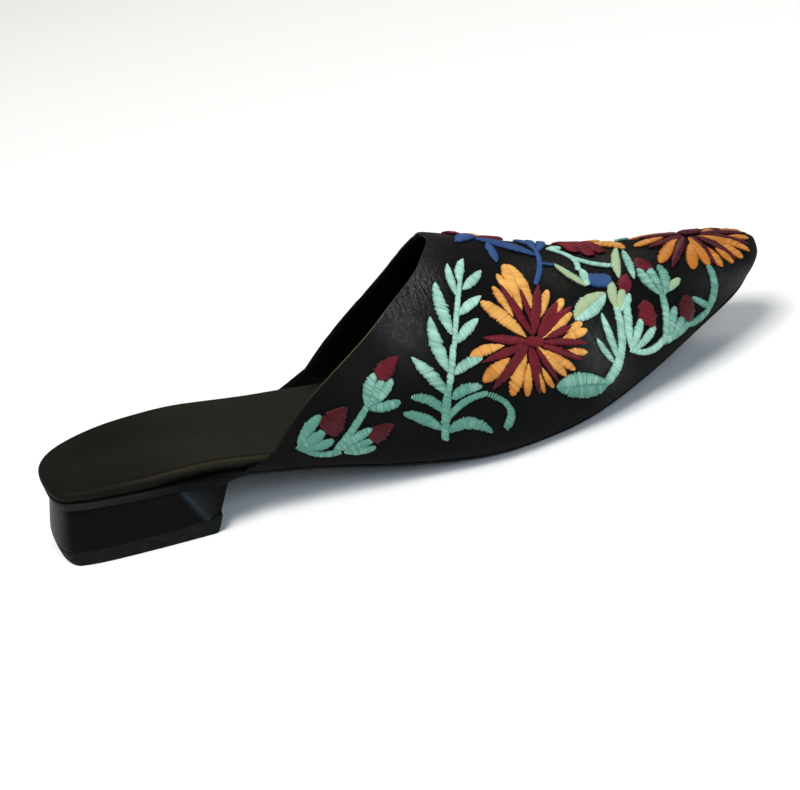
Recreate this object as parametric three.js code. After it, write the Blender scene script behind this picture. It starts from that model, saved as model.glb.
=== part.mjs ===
// Pointed loafer mule for the right foot: a backless slip-on with a low block heel.
// Millimetres, +Z up, +X to the toe, +Y to the inner (medial) side of the foot.
// The origin is on the floor, under the middle of the bounding box.
import * as THREE from "three";
import { mergeVertices } from "three/addons/utils/BufferGeometryUtils.js";

// Driving dimensions
const LENGTH = 285; // back of the insole to the tip of the upper
const HEEL_RISE = 22.5; // floor to the underside of the outsole, at the very back
const HEEL_FALL = 3.5; // how much lower that underside is at the front of the heel
const HEEL_LENGTH = 59; // back of the insole to the heel's front edge, on the floor
const HEEL_LEAN = 3; // how far the heel's back leans out to the rear, on the floor
const HEEL_LEAN_TO = 45; // the lean fades out to here
const HEEL_CUT = { top: { back: 11.5, inward: 13 }, bottom: { back: 5, inward: 4 } }; // front corners
const HEEL_SWEEP = 8.5; // how far the heel's front face leans forward, at the top
const TREAD_FROM = 176; // the forefoot lies flat on the floor from here
const TREAD_TO = 186; // to here
const TOE_SPRING = 24.5; // floor to the underside of the outsole, at the tip
const SWING = 13.5; // how far the tip bends to the medial side
const SWING_FROM = 60; // the bend begins here
const OUTSOLE = 2.8; // outsole thickness
const INSOLE = 4.6; // padded insole thickness
const TOP_PIECE = 5.5; // thickness of the wearing layer under the heel
const TOP_PIECE_BEVEL = { edge: 0.5, back: 1.2 }; // at its bottom, all round and at the back
const WALL = 1.8; // upper, leather and lining together
const GAP = 0.3; // glue line between two pieces

// How far each edge lies inside the widest outline
const FEATHER_INSET = 3.4; // bottom edge of the upper
const OUTSOLE_INSET = { back: 0.5, front: 3.9, tip: 3.5 };
const OUTSOLE_BEVEL = { back: 0.6, front: 3.3, tip: 2 }; // and how much further its bottom does
const INSOLE_INSET = { back: 0, front: FEATHER_INSET + 0.7 * WALL };
const INSOLE_DRAW = 22; // length over which the insole draws in to go under the upper
const HEEL_INSET = { top: 2.2, bottom: 1.5 };
const TOP_PIECE_INSET = 1.8;

// Widest outline of the shoe, seen from above before it is bent
const OUTLINE = [
  { at: 0, lateral: 0, medial: 0 },
  { at: 8, lateral: 26, medial: 17 },
  { at: 30, lateral: 30, medial: 27.5 },
  { at: 60, lateral: 32, medial: 31 },
  { at: 92, lateral: 33.5, medial: 37 },
  { at: 128, lateral: 41, medial: 41 },
  { at: 162, lateral: 46.5, medial: 42.5 },
  { at: 196, lateral: 43, medial: 38 },
  { at: 223, lateral: 35.5, medial: 30.5 },
  { at: 250, lateral: 26, medial: 22 },
  { at: 271, lateral: 18.5, medial: 15 },
  { at: LENGTH, lateral: 0, medial: 0 },
];

// Sections of the last: height of the ridge over the floor, its lean to the medial side, and
// how full the shoulders are (2 is a plain ellipse, less is more peaked)
const SECTIONS = [
  { at: 60, ridge: 108, lean: 4, fullness: 1.9 },
  { at: 100, ridge: 91, lean: 4, fullness: 1.9 },
  { at: 131, ridge: 80.8, lean: 3.5, fullness: 1.9 },
  { at: 156, ridge: 73.8, lean: 2.5, fullness: 1.95 },
  { at: 184, ridge: 62, lean: 1.5, fullness: 2 },
  { at: 216, ridge: 50.2, lean: 0.5, fullness: 2 },
  { at: 248, ridge: 44, lean: 0, fullness: 2 },
  { at: 272, ridge: 39, lean: 0, fullness: 2 },
  { at: LENGTH, ridge: 33, lean: 0, fullness: 2 },
];
const WIDEST_HEIGHT = 9; // the widest line runs this far over the bottom edge of the upper
const WIDEST_SHARE = 0.42; // but never higher than this share of the section
const TUCK = (70 * Math.PI) / 180; // how far the wall turns in under the widest line

// The collar: where it cuts each line along the upper. Around the section, -1 is the lateral
// bottom edge, 0 the ridge and 1 the medial bottom edge.
const COLLAR = [
  { around: -1, at: 71 },
  { around: -0.8, at: 83 },
  { around: -0.4, at: 131 },
  { around: -0.2, at: 150 },
  { around: 0, at: 157.5 },
  { around: 0.2, at: 156 },
  { around: 0.4, at: 148 },
  { around: 0.8, at: 106 },
  { around: 1, at: 86.5 },
];

// Mesh counts
const OUTLINE_STEPS = 44;
const LENGTH_STEPS = 32; // collar to tip
const TUCK_STEPS = 3; // bottom edge to widest line
const CROWN_STEPS = 12; // widest line to ridge

const smooth = (x, from, to) => THREE.MathUtils.smoothstep(x, from, to);
const lerp = THREE.MathUtils.lerp;

// Position along the shoe as an angle, 0 at the back and PI at the tip, so that both round ends
// are evenly stepped
const angleAt = (at) => Math.acos(1 - (2 * at) / LENGTH);
const atAngle = (angle) => (LENGTH * (1 - Math.cos(angle))) / 2;

// A smooth curve through one column of a table, without overshoot between two rows
function curve(x, y) {
  const last = x.length - 1;
  const slope = (i) => (y[i + 1] - y[i]) / (x[i + 1] - x[i]);
  const tangent = y.map((_, i) => {
    if (i === 0) return slope(0);
    if (i === last) return slope(last - 1);
    const before = slope(i - 1);
    const after = slope(i);
    return before * after <= 0 ? 0 : (2 * before * after) / (before + after);
  });
  return (value) => {
    let i = 0;
    while (i < last - 1 && value > x[i + 1]) i++;
    const step = x[i + 1] - x[i];
    const t = (value - x[i]) / step;
    const rise = y[i + 1] - y[i];
    const a = tangent[i] * step - rise;
    const b = rise - tangent[i + 1] * step;
    return y[i] + t * rise + t * (1 - t) * ((1 - t) * a + t * b);
  };
}
const column = (table, name) =>
  curve(
    table.map((row) => angleAt(row.at)),
    table.map((row) => row[name]),
  );

const halfWidth = { [-1]: column(OUTLINE, "lateral"), 1: column(OUTLINE, "medial") };
const ridgeHeight = column(SECTIONS, "ridge");
const ridgeLean = column(SECTIONS, "lean");
const fullness = column(SECTIONS, "fullness");
const collarAt = curve(
  COLLAR.map((row) => row.around),
  COLLAR.map((row) => row.at),
);

// Underside of the outsole: the heel seat, the arch down to the tread, and the toe spring
function underside(at) {
  const seat = HEEL_RISE - (HEEL_FALL * at) / HEEL_LENGTH;
  const arch = seat * (1 - smooth(at, HEEL_LENGTH * 0.7, TREAD_FROM));
  const spring = Math.max(0, (at - TREAD_TO) / (LENGTH - TREAD_TO));
  return at < TREAD_FROM ? arch : TOE_SPRING * spring ** 1.5;
}
const outsoleTop = (at) => underside(at) + OUTSOLE;
const featherHeight = (at) => outsoleTop(at) + GAP;

// A point of the widest outline moved in by an inset, square to the outline
function outlinePoint(angle, side, inset) {
  const nudge = 0.004;
  const near = Math.max(0, angle - nudge);
  const far = Math.min(Math.PI, angle + nudge);
  const dx = atAngle(far) - atAngle(near);
  const dy = side * (halfWidth[side](far) - halfWidth[side](near));
  const size = Math.hypot(dx, dy);
  const end = angle === 0 || angle === Math.PI;
  const out = end ? [angle === 0 ? -1 : 1, 0] : [(-side * dy) / size, (side * dx) / size];
  return [atAngle(angle) - inset * out[0], side * halfWidth[side](angle) - inset * out[1]];
}

// The outer face of the upper. Around the section, -1 is the lateral bottom edge, 0 the ridge
// and 1 the medial bottom edge; the tuck takes the outer TUCK_STEPS of it.
const TUCK_PART = TUCK_STEPS / (TUCK_STEPS + CROWN_STEPS);
function lastPoint(angle, around) {
  const side = around < 0 ? -1 : 1;
  const at = atAngle(angle);
  const foot = featherHeight(at);
  const ridge = ridgeHeight(angle);
  const widest = foot + Math.min(WIDEST_HEIGHT, WIDEST_SHARE * (ridge - foot));
  const low = (Math.abs(around) - (1 - TUCK_PART)) / TUCK_PART;
  if (low > 0) {
    const turn = low * TUCK;
    const inset = (FEATHER_INSET * (1 - Math.cos(turn))) / (1 - Math.cos(TUCK));
    const [x, y] = outlinePoint(angle, side, inset);
    return new THREE.Vector3(x, y, widest - ((widest - foot) * Math.sin(turn)) / Math.sin(TUCK));
  }
  const climb = (1 - Math.abs(around) / (1 - TUCK_PART)) * (Math.PI / 2);
  const power = 2 / fullness(angle);
  const lean = ridgeLean(angle) * Math.sin(angle);
  const reach = side * halfWidth[side](angle) - lean;
  const y = lean + reach * Math.cos(climb) ** power;
  return new THREE.Vector3(at, y, widest + (ridge - widest) * Math.sin(climb) ** power);
}

// Outward direction of the last's face; at the tip, where both sides meet, they share one
function lastNormal(angle, around) {
  const nudge = 0.006;
  if (angle === Math.PI) {
    const near = Math.PI - 3 * nudge;
    const both = lastNormal(near, around).add(lastNormal(near, -around));
    return both.setY(0).normalize();
  }
  const edge = 1 - nudge;
  const b = THREE.MathUtils.clamp(around, -edge, edge);
  const along = lastPoint(angle + nudge, b).sub(lastPoint(angle - nudge, b));
  const across = lastPoint(angle, b + nudge).sub(lastPoint(angle, b - nudge));
  return along.cross(across).normalize();
}

// The left/right curve of the shoe: how far a section is moved to the medial side
const bend = (at) => SWING * Math.max(0, (at - SWING_FROM) / (LENGTH - SWING_FROM)) ** 1.5;

// Collects quads and triangles; corners in one place become one vertex, and a face that
// collapses there is dropped
class Skin {
  corners = [];
  face(...points) {
    for (let i = 1; i + 1 < points.length; i++)
      this.corners.push(...points[0], ...points[i], ...points[i + 1]);
  }
  // A strip between two equally long lines of points
  strip(first, second) {
    for (let i = 0; i + 1 < first.length; i++)
      this.face(first[i], first[i + 1], second[i + 1], second[i]);
  }
  geometry() {
    const loose = new THREE.BufferGeometry();
    const bent = this.corners.map((value, i, all) => (i % 3 === 1 ? value + bend(all[i - 1]) : value));
    loose.setAttribute("position", new THREE.Float32BufferAttribute(bent, 3));
    const merged = mergeVertices(loose, 1e-3);
    const kept = [];
    const index = merged.index.array;
    for (let i = 0; i < index.length; i += 3) {
      const [a, b, c] = index.slice(i, i + 3);
      if (a !== b && b !== c && c !== a) kept.push(a, b, c);
    }
    merged.setIndex(kept);
    merged.computeVertexNormals();
    return merged;
  }
}

// The upper: outer and inner face, joined around the collar and along the bottom edge
function upperGeometry() {
  const half = TUCK_STEPS + CROWN_STEPS;
  const outer = [];
  const inner = [];
  for (let j = -half; j <= half; j++) {
    const around = j / half;
    const start = angleAt(collarAt(around));
    const outerLine = [];
    const innerLine = [];
    for (let i = 0; i <= LENGTH_STEPS; i++) {
      const angle = i === LENGTH_STEPS ? Math.PI : lerp(start, Math.PI, i / LENGTH_STEPS);
      const point = lastPoint(angle, around);
      const inside = point.clone().addScaledVector(lastNormal(angle, around), -WALL);
      outerLine.push(point.toArray());
      innerLine.push(inside.toArray());
    }
    outer.push(outerLine);
    inner.push(innerLine);
  }
  const skin = new Skin();
  const end = outer.length - 1;
  for (let j = 0; j < end; j++) {
    skin.strip(outer[j], outer[j + 1]);
    skin.strip(inner[j + 1], inner[j]);
    skin.face(outer[j + 1][0], inner[j + 1][0], inner[j][0], outer[j][0]);
  }
  skin.strip(inner[0], outer[0]);
  skin.strip(outer[end], inner[end]);
  return skin.geometry();
}

// A flat layer with the outline of the shoe. Each row of its edge gives how far inside the ring
// lies, and how far up the layer's thickness it is.
function layerGeometry({ from, inset, base, thickness, edge }) {
  const angles = [];
  for (let i = 0; i <= OUTLINE_STEPS; i++) angles.push(lerp(from, Math.PI, i / OUTLINE_STEPS));
  const rings = edge.map(({ inside, up }) =>
    [-1, 1].map((side) =>
      angles.map((angle) => {
        const [x, y] = outlinePoint(angle, side, inset(atAngle(angle), side, inside));
        return [x, y, base(x) + up * thickness];
      }),
    ),
  );
  const skin = new Skin();
  const [bottom, top] = [rings[0], rings[rings.length - 1]];
  skin.strip(bottom[1], bottom[0]);
  skin.strip(top[0], top[1]);
  for (let i = 0; i + 1 < rings.length; i++) {
    skin.strip(rings[i][0], rings[i + 1][0]);
    skin.strip(rings[i + 1][1], rings[i][1]);
  }
  return skin.geometry();
}

// One ring of the heel, on both sides from the back to the end of the side and on to the corner
// of the front face, which lies at breast and inward of the side
function heelRing({ inset, lean, side: end, breast = end, inward = 0 }, height) {
  const steps = 16;
  return [-1, 1].map((side) => {
    const line = [];
    for (let i = 0; i < steps; i++) {
      const [x, y] = outlinePoint(lerp(0, angleAt(end), i / steps), side, inset);
      const back = x - lean * (1 - smooth(x, 0, HEEL_LEAN_TO));
      line.push([back, y, height(back)]);
    }
    const [, y] = outlinePoint(angleAt(end), side, inset);
    line.push([end, y, height(end)], [breast, y - side * inward, height(breast)]);
    return line;
  });
}

// A solid between rings that lie one over the other
function stackGeometry(rings) {
  const skin = new Skin();
  const [bottom, top] = [rings[0], rings[rings.length - 1]];
  const last = bottom[0].length - 1;
  skin.strip(bottom[1], bottom[0]);
  skin.strip(top[0], top[1]);
  for (let i = 0; i + 1 < rings.length; i++) {
    const [low, high] = [rings[i], rings[i + 1]];
    skin.strip(low[0], high[0]);
    skin.strip(high[1], low[1]);
    skin.face(low[1][last], high[1][last], high[0][last], low[0][last]);
  }
  return skin.geometry();
}

// The heel block: its back leans out downwards, its front corners are cut to facets that widen
// upwards, and its front face leans forward under the waist
function heelBlockGeometry() {
  const levels = 4;
  const foot = TOP_PIECE + GAP;
  const rings = [];
  for (let i = 0; i <= levels; i++) {
    const up = i / levels;
    const ring = {
      inset: lerp(HEEL_INSET.bottom, HEEL_INSET.top, up),
      lean: HEEL_LEAN * (1 - up),
      side: HEEL_LENGTH - lerp(HEEL_CUT.bottom.back, HEEL_CUT.top.back, up),
      breast: HEEL_LENGTH + HEEL_SWEEP * up,
      inward: lerp(HEEL_CUT.bottom.inward, HEEL_CUT.top.inward, up),
    };
    rings.push(heelRing(ring, (x) => lerp(foot, underside(x) - GAP, up)));
  }
  return stackGeometry(rings);
}

// The wearing layer, bevelled at the bottom edge and most of all at the back
function topPieceGeometry() {
  const rows = [
    { z: 0, bevel: 1 },
    { z: 0.5 * TOP_PIECE, bevel: 0.3 },
    { z: TOP_PIECE, bevel: 0 },
  ];
  const rings = rows.map(({ z, bevel }) => {
    const ring = {
      inset: TOP_PIECE_INSET + TOP_PIECE_BEVEL.edge * bevel,
      lean: HEEL_LEAN - TOP_PIECE_BEVEL.back * bevel,
      side: HEEL_LENGTH - TOP_PIECE_BEVEL.edge * bevel,
    };
    return heelRing(ring, () => z);
  });
  return stackGeometry(rings);
}

// A value of the outsole's edge: at the heel, from the foot of the collar on, and at the tip
function alongSole(value, at) {
  const front = lerp(value.front, value.tip, smooth(at, LENGTH - 34, LENGTH));
  return lerp(value.back, front, smooth(at, HEEL_LENGTH, COLLAR[0].at));
}

// The insole draws in on each side just behind the foot of the collar
function insoleInset(at, side) {
  const foot = (side < 0 ? COLLAR[0] : COLLAR[COLLAR.length - 1]).at - 3;
  return lerp(INSOLE_INSET.back, INSOLE_INSET.front, smooth(at, foot - INSOLE_DRAW, foot));
}

const outsoleGeometry = () =>
  layerGeometry({
    from: 0,
    inset: (at, side, inside) => alongSole(OUTSOLE_INSET, at) + inside * alongSole(OUTSOLE_BEVEL, at),
    base: underside,
    thickness: OUTSOLE,
    edge: [
      { inside: 1, up: 0 },
      { inside: 0.5, up: 0.3 },
      { inside: 0.1, up: 0.75 },
      { inside: 0, up: 1 },
    ],
  });

const insoleGeometry = () =>
  layerGeometry({
    from: 0,
    inset: (at, side, inside) => insoleInset(at, side) + inside,
    base: (at) => outsoleTop(at) + GAP,
    thickness: INSOLE,
    edge: [
      { inside: 0.9, up: 0 },
      { inside: 0.1, up: 0.25 },
      { inside: 0.1, up: 0.6 },
      { inside: 0.8, up: 0.85 },
      { inside: 2.4, up: 1 },
    ],
  });

const leather = { color: 0x14120f, metalness: 0 };
const MATERIALS = {
  upper: new THREE.MeshStandardMaterial({ ...leather, roughness: 0.45 }),
  insole: new THREE.MeshStandardMaterial({ ...leather, color: 0x1a1713, roughness: 0.6 }),
  outsole: new THREE.MeshStandardMaterial({ color: 0x0f0f10, roughness: 0.6, metalness: 0 }),
  heel: new THREE.MeshStandardMaterial({ color: 0x0d0e10, roughness: 0.35, metalness: 0 }),
  rubber: new THREE.MeshStandardMaterial({ color: 0x101010, roughness: 0.8, metalness: 0 }),
};

// The shoe is drawn from its back end, then set with the middle of its box over the origin
const mule = new THREE.Group();
function piece(name, geometry, material) {
  const mesh = new THREE.Mesh(geometry, material);
  mesh.name = name;
  mule.add(mesh);
}
piece("heel_top_piece", topPieceGeometry(), MATERIALS.rubber);
piece("heel_block", heelBlockGeometry(), MATERIALS.heel);
piece("outsole", outsoleGeometry(), MATERIALS.outsole);
piece("insole", insoleGeometry(), MATERIALS.insole);
piece("upper", upperGeometry(), MATERIALS.upper);

const middle = new THREE.Box3().setFromObject(mule).getCenter(new THREE.Vector3());
mule.children.forEach((mesh) => mesh.position.set(-middle.x, -middle.y, 0));

export default mule;
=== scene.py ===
import bpy
import numpy as np
from mathutils import Matrix, Vector


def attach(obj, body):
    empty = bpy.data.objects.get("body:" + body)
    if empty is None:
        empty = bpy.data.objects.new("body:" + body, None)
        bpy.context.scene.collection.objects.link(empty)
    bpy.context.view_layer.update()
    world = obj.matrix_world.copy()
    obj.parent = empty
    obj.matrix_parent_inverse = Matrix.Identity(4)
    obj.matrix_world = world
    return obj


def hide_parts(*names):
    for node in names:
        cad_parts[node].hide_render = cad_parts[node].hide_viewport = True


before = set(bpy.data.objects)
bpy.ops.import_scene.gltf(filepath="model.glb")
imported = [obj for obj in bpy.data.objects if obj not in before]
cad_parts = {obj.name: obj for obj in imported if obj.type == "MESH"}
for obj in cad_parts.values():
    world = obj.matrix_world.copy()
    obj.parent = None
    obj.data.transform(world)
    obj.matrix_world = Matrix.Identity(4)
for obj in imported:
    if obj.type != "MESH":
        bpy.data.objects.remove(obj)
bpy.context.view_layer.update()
print("frame loaded:", sorted(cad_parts))

# the last and the sole, in millimetres from the back of the heel, as in the part's source
shoe = {
    "length": 285.0, "middle": (141.7549, 2.1587),  # middle: of the part's box, over the frame's origin
    "heelRise": 22.5, "heelFall": 3.5, "heelLength": 59.0, "archFrom": 0.7,
    "treadFrom": 176.0, "treadTo": 186.0, "toeSpring": 24.5,
    "swing": 13.5, "swingFrom": 60.0, "curve": 1.5,  # curve: power of the toe spring and of the swing
    "outsole": 2.8, "topPiece": 5.5, "gap": 0.3,
    "featherInset": 3.4, "widestHeight": 9.0, "widestShare": 0.42,
    "tuck": np.radians(70), "tuckPart": 0.2,
}
outline = {
    "at": [0, 8, 30, 60, 92, 128, 162, 196, 223, 250, 271, 285],
    "lateral": [0, 26, 30, 32, 33.5, 41, 46.5, 43, 35.5, 26, 18.5, 0],
    "medial": [0, 17, 27.5, 31, 37, 41, 42.5, 38, 30.5, 22, 15, 0],
}
sections = {
    "at": [60, 100, 131, 156, 184, 216, 248, 272, 285],
    "ridge": [108, 91, 80.8, 73.8, 62, 50.2, 44, 39, 33],
    "lean": [4, 4, 3.5, 2.5, 1.5, 0.5, 0, 0, 0],
    "fullness": [1.9, 1.9, 1.9, 1.95, 2, 2, 2, 2, 2],
}
collar = {
    "around": [-1, -0.8, -0.4, -0.2, 0, 0.2, 0.4, 0.8, 1],
    "at": [71, 83, 131, 150, 157.5, 156, 148, 106, 86.5],
}


# smooth step: 0 below low, 1 above high, 3tt - 2ttt between
def smoothStep(value, low, high):
    t = np.clip((value - low) / (high - low), 0, 1)
    return t * t * (3 - 2 * t)


# soft spot: exp of minus the square of (distance from the middle / reach)
def spot(value, middle, reach):
    return np.exp(-((value - middle) / reach) ** 2)


# vectors over their own lengths
def unit(vectors):
    return vectors / np.linalg.norm(vectors, axis=-1, keepdims=True)


# cubic through a table: each inner slope is the harmonic mean of its neighbours, or flat at a turn
def tableCurve(xs, ys, at):
    xs, ys = np.asarray(xs, float), np.asarray(ys, float)
    slope = np.diff(ys) / np.diff(xs)
    tangent = np.concatenate([slope[:1], np.zeros(len(xs) - 2), slope[-1:]])
    before, after = slope[:-1], slope[1:]
    same = before * after > 0
    tangent[1:-1] = np.where(same, 2 * before * after / np.where(same, before + after, 1), 0)
    i = np.clip(np.searchsorted(xs, at, side="right") - 1, 0, len(xs) - 2)
    step = xs[i + 1] - xs[i]
    u = (at - xs[i]) / step
    rise = ys[i + 1] - ys[i]
    pull = (1 - u) * (tangent[i] * step - rise) + u * (rise - tangent[i + 1] * step)
    return ys[i] + u * rise + u * (1 - u) * pull


# a station turned into an angle, 0 at the heel and pi at the toe, so that both ends come out round
def stationAngle(at):
    return np.arccos(np.clip(1 - 2 * np.asarray(at, float) / shoe["length"], -1, 1))


# and back: half the length times one minus the cosine
def angleStation(angle):
    return shoe["length"] * (1 - np.cos(angle)) / 2


# half width of the last at an angle, on the side that is asked for (-1 lateral, 1 medial)
def halfWidth(angle, side):
    at = stationAngle(outline["at"])
    return np.where(side < 0, tableCurve(at, outline["lateral"], angle),
                    tableCurve(at, outline["medial"], angle))


# one row of the section table at an angle
def sectionValue(name, angle):
    return tableCurve(stationAngle(sections["at"]), sections[name], angle)


# height of the sole's underside: heel seat faded out over the arch, flat tread, then the toe spring times
# the run to the power of the curve
def underside(at):
    seat = shoe["heelRise"] - shoe["heelFall"] * at / shoe["heelLength"]
    arch = seat * (1 - smoothStep(at, shoe["archFrom"] * shoe["heelLength"], shoe["treadFrom"]))
    rise = np.maximum(0, (at - shoe["treadTo"]) / (shoe["length"] - shoe["treadTo"]))
    return np.where(at < shoe["treadFrom"], arch, shoe["toeSpring"] * rise ** shoe["curve"])


# height where the insole and the upper start: the outsole and a gap over the underside
def soleTop(at):
    return underside(at) + shoe["outsole"] + shoe["gap"]


# a point of the plan outline, moved in by inset along the outline's own normal
def outlinePoint(angle, side, inset, step=0.004):
    angle, side, inset = np.broadcast_arrays(angle, side, inset)
    low, high = np.maximum(0, angle - step), np.minimum(np.pi, angle + step)
    dx = angleStation(high) - angleStation(low)
    dy = side * (halfWidth(high, side) - halfWidth(low, side))
    size = np.hypot(dx, dy)
    outX, outY = -side * dy / size, side * dx / size
    back, front = angle <= 1e-9, angle >= np.pi - 1e-9
    outX = np.where(back, -1, np.where(front, 1, outX))
    outY = np.where(back | front, 0, outY)
    return angleStation(angle) - inset * outX, side * halfWidth(angle, side) - inset * outY


# a point of the last: around runs -1 lateral edge, 0 ridge, 1 medial edge; a superellipse above the
# widest line, and below it an arc that tucks the edge in under the foot
def lastPoint(angle, around):
    angle, around = np.broadcast_arrays(np.asarray(angle, float), np.asarray(around, float))
    side = np.where(around < 0, -1.0, 1.0)
    foot = soleTop(angleStation(angle))
    ridge = sectionValue("ridge", angle)
    widest = foot + np.minimum(shoe["widestHeight"], shoe["widestShare"] * (ridge - foot))
    low = np.clip((np.abs(around) - 1 + shoe["tuckPart"]) / shoe["tuckPart"], 0, 1)
    turn = low * shoe["tuck"]
    inset = shoe["featherInset"] * (1 - np.cos(turn)) / (1 - np.cos(shoe["tuck"]))
    tuckX, tuckY = outlinePoint(angle, side, inset)
    tuckZ = widest - (widest - foot) * np.sin(turn) / np.sin(shoe["tuck"])
    climb = np.clip(1 - np.abs(around) / (1 - shoe["tuckPart"]), 0, 1) * np.pi / 2
    power = 2 / sectionValue("fullness", angle)
    lean = sectionValue("lean", angle) * np.sin(angle)
    crownY = lean + (side * halfWidth(angle, side) - lean) * np.cos(climb).clip(0) ** power
    crownZ = widest + (ridge - widest) * np.sin(climb) ** power
    tucked = low > 0
    return np.stack([np.where(tucked, tuckX, angleStation(angle)),
                     np.where(tucked, tuckY, crownY), np.where(tucked, tuckZ, crownZ)], -1)


# bends the shoe to the medial side towards the toe: y plus swing times the run to the power of the curve
def bend(points):
    run = np.maximum(0, (points[..., 0] - shoe["swingFrom"]) / (shoe["length"] - shoe["swingFrom"]))
    bent = points.copy()
    bent[..., 1] += shoe["swing"] * run ** shoe["curve"]
    return bent


# millimetres from the heel's back to metres in the part's frame
def place(points):
    return (points - np.array([*shoe["middle"], 0])) * 0.001


# quads of a grid of points, row by row; wrapped, each row's last point joins its first
def gridFaces(rows, columns, wrap=False):
    i, j = np.arange(rows - 1), np.arange(columns if wrap else columns - 1)
    i, j = [k.ravel() for k in np.meshgrid(i, j, indexing="ij")]
    beside = (j + 1) % columns
    return np.stack([i * columns + j, (i + 1) * columns + j,
                     (i + 1) * columns + beside, i * columns + beside], 1)


# joins points that coincide to a micron, and drops or thins the quads that this closes; also returns
# which points are kept, and where each old point went
def weld(points, quads):
    kept, index = np.unique(np.round(points, 3), axis=0, return_index=True, return_inverse=True)[1:]
    index = index.reshape(-1)
    quads = index[quads]
    repeat = quads == np.roll(quads, -1, axis=1)
    thinned = repeat.sum(1) == 1
    triangles = quads[thinned][~repeat[thinned]].reshape(-1, 3)
    return points[kept], quads[~repeat.any(1)], triangles, kept, index


# outward vertex normals: the sum of the cross products of each face's diagonals
def vertexNormals(points, quads, triangles):
    normals = np.zeros_like(points)
    across = np.cross(points[quads[:, 2]] - points[quads[:, 0]], points[quads[:, 3]] - points[quads[:, 1]])
    np.add.at(normals, quads, across[:, None])
    across = np.cross(points[triangles[:, 1]] - points[triangles[:, 0]],
                      points[triangles[:, 2]] - points[triangles[:, 0]])
    np.add.at(normals, triangles, across[:, None])
    return normals / np.maximum(np.linalg.norm(normals, axis=1, keepdims=True), 1e-12)


# outward normals of a grid's points, with points that coincide taken as one
def gridNormals(grid):
    joined, whole, thinned, _, index = weld(grid.reshape(-1, 3), gridFaces(*grid.shape[:2]))
    return vertexNormals(joined, whole, thinned)[index].reshape(grid.shape)


# a new object in the scene
def addObject(name, data):
    made = bpy.data.objects.new(name, data)
    bpy.context.scene.collection.objects.link(made)
    return made


# a smooth-shaded object from points in millimetres, its faces, and named values per point
def makePiece(name, points, quads, triangles, material, values):
    mesh = bpy.data.meshes.new(name)
    mesh.from_pydata(place(points).tolist(), [], quads.tolist() + triangles.tolist())
    mesh.polygons.foreach_set("use_smooth", np.ones(len(mesh.polygons), bool))
    for label, value in values.items():
        attribute = mesh.attributes.new(label, "FLOAT", "POINT")
        attribute.data.foreach_set("value", value.astype(np.float32))
    mesh.materials.append(material)
    mesh.update()
    piece = addObject(name, mesh)
    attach(piece, "root")
    print(name, len(mesh.vertices), "points", len(mesh.polygons), "faces")
    return piece


# the same from a grid with points that coincide, which are welded first
def weldedPiece(name, grid, quads, material, values):
    joined, whole, thinned, kept, _ = weld(grid.reshape(-1, 3), quads)
    return makePiece(name, joined, whole, thinned, material,
                     {label: value.ravel()[kept] for label, value in values.items()})


# a node's output in a material; arithmetic on it adds Math nodes
class Wire:
    def __init__(self, tree, socket):
        self.tree, self.socket = tree, socket

    # any other node: its type, its settings, then the values or wires of its sockets
    def node(self, kind, settings=None, sockets=None, output=0):
        made = self.tree.nodes.new(kind)
        for name, value in (settings or {}).items():
            setattr(made, name, value)
        for name, value in (sockets or {}).items():
            if isinstance(value, Wire):
                self.tree.links.new(value.socket, made.inputs[name])
            else:
                made.inputs[name].default_value = value
        return Wire(self.tree, made.outputs[output])

    # one Math node on two values or wires
    def math(self, operation, first, second):
        return self.node("ShaderNodeMath", {"operation": operation}, {0: first, 1: second})

    def __add__(self, other):
        return self.math("ADD", self, other)

    def __sub__(self, other):
        return self.math("SUBTRACT", self, other)

    def __rsub__(self, other):
        return self.math("SUBTRACT", other, self)

    def __mul__(self, other):
        return self.math("MULTIPLY", self, other)

    # either order is the same for a sum and a product
    __radd__, __rmul__ = __add__, __mul__

    # value between low and high as 0 to 1, smoothly
    def between(self, low, high):
        return self.node("ShaderNodeMapRange", {"interpolation_type": "SMOOTHSTEP"},
                         {"Value": self, "From Min": low, "From Max": high})

    # two colours mixed by this value
    def mix(self, first, second):
        return self.node("ShaderNodeMix", {"data_type": "RGBA"}, {0: self, 6: first, 7: second}, 2)

    # noise at so many per metre, read at this position
    def noise(self, scale, detail=3, rough=0.55):
        return self.node("ShaderNodeTexNoise", None,
                         {"Vector": self, "Scale": scale, "Detail": detail, "Roughness": rough})

    # cell pattern, distance from the cell's middle
    def cells(self, scale):
        return self.node("ShaderNodeTexVoronoi", None, {"Vector": self, "Scale": scale})

    # this position scaled along each axis
    def stretch(self, x, y, z):
        return self.node("ShaderNodeMapping", None, {"Vector": self, "Scale": (x, y, z)})

    # this position along one axis, 0 for x to 2 for z
    def axis(self, number):
        return self.node("ShaderNodeSeparateXYZ", None, {"Vector": self}, number)

    # a named value that the piece's points carry
    def pointValue(self, name):
        return self.node("ShaderNodeAttribute", {"attribute_name": name}, None, 2)

    # bump of so many metres from this height
    def bump(self, strength, distance):
        return self.node("ShaderNodeBump", None,
                         {"Height": self, "Strength": strength, "Distance": distance})


# an empty material: its shader with the piece's fixed values, and the wire of object positions to build on
def newMaterial(name, piece):
    material = bpy.data.materials.new(name)
    material.use_nodes = True
    tree = material.node_tree
    shader = tree.nodes["Principled BSDF"]
    for socket, value in piece["fixed"].items():
        shader.inputs[socket].default_value = value
    return material, shader, Wire(tree, None).node("ShaderNodeTexCoord", output="Object")


# joins wires to a shader's sockets by name
def feed(shader, wires):
    for socket, wire in wires.items():
        wire.tree.links.new(wire.socket, shader.inputs[socket])


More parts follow.
